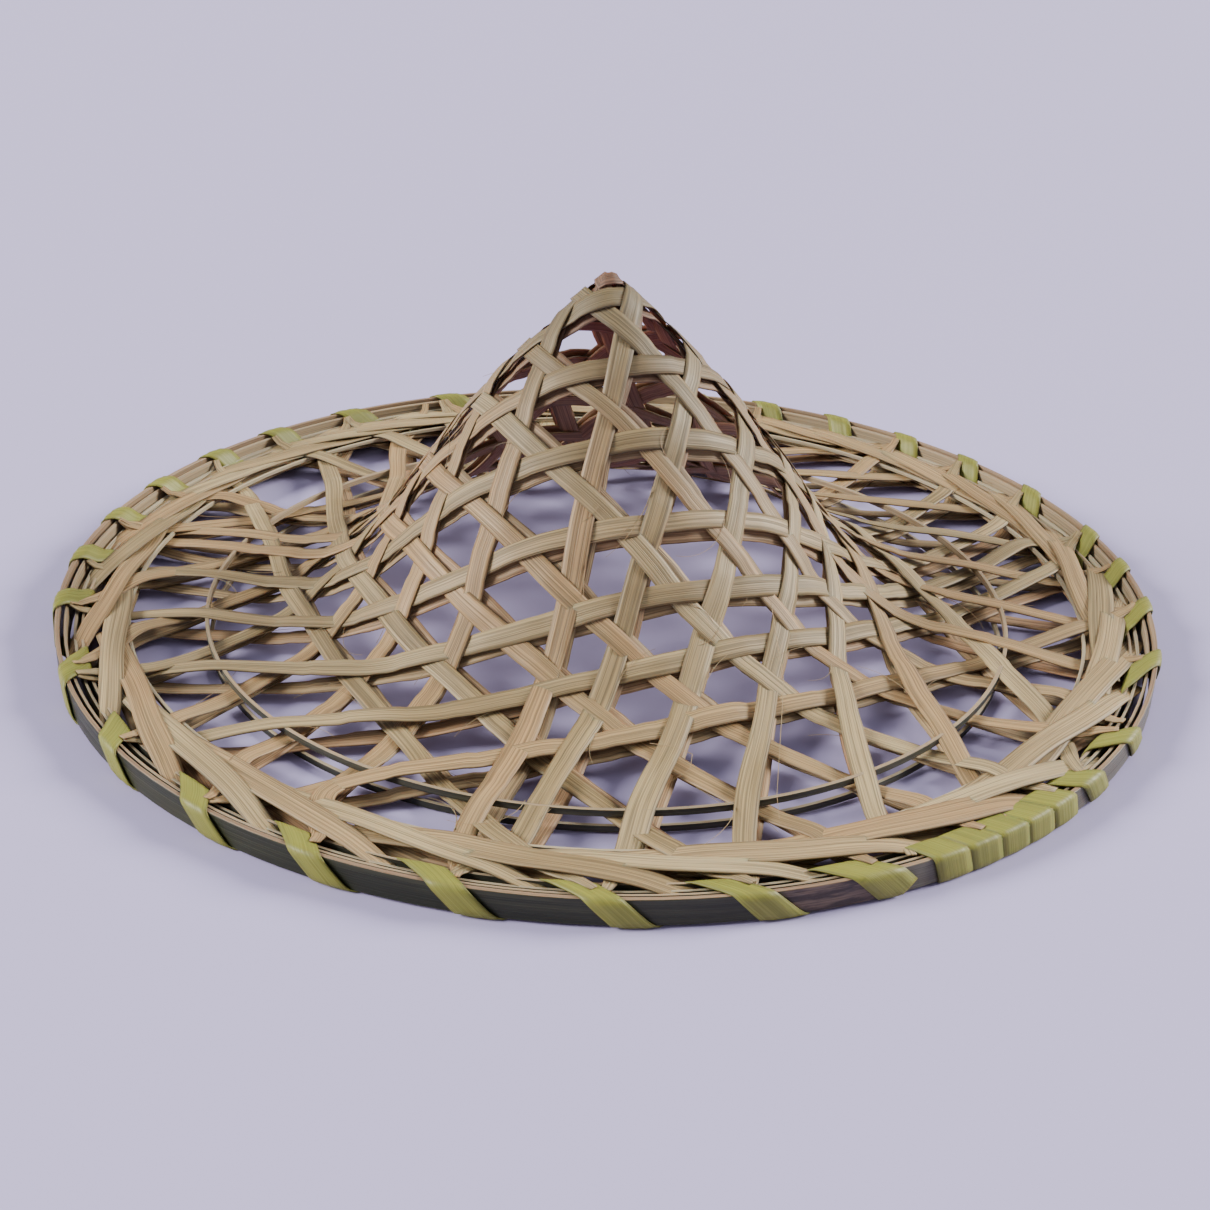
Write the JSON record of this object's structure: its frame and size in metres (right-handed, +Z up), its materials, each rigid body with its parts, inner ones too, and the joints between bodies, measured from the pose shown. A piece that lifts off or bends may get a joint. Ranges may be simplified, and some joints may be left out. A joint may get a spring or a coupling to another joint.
{
  "type": "conical bamboo hat",
  "caption": "Conical hat of split bamboo: two open hexagonal weaves, thin stiffening hoops and a strip-lashed rim; the crown is hollow for the head.",
  "frame": {"origin": "on the ground under the centre of the rim", "axes": "+Z up through the tip, -Y to the front, where the wide plain stretch of the rim faces, +X to the wearer's left"},
  "size_m": [0.4202, 0.4202, 0.1323],
  "materials": {
    "strip_cream": "satin",
    "strip_shaded": "matte",
    "hoop_split": "satin",
    "rim_green": "satin",
    "lashing_yellow": "satin"
  },
  "bodies": {
    "root": {"outer_crown": "strip_cream", "outer_brim": "strip_cream", "inner_crown": "strip_shaded", "inner_brim": "strip_shaded", "upper_hoop": "hoop_split", "lower_hoop": "hoop_split", "brim_hoop": "hoop_split", "rim_hoop_outer": "rim_green", "rim_hoop_inner": "hoop_split", "folded_strip_ends": "strip_cream", "rim_lashing": "lashing_yellow"}
  },
  "joints": []
}
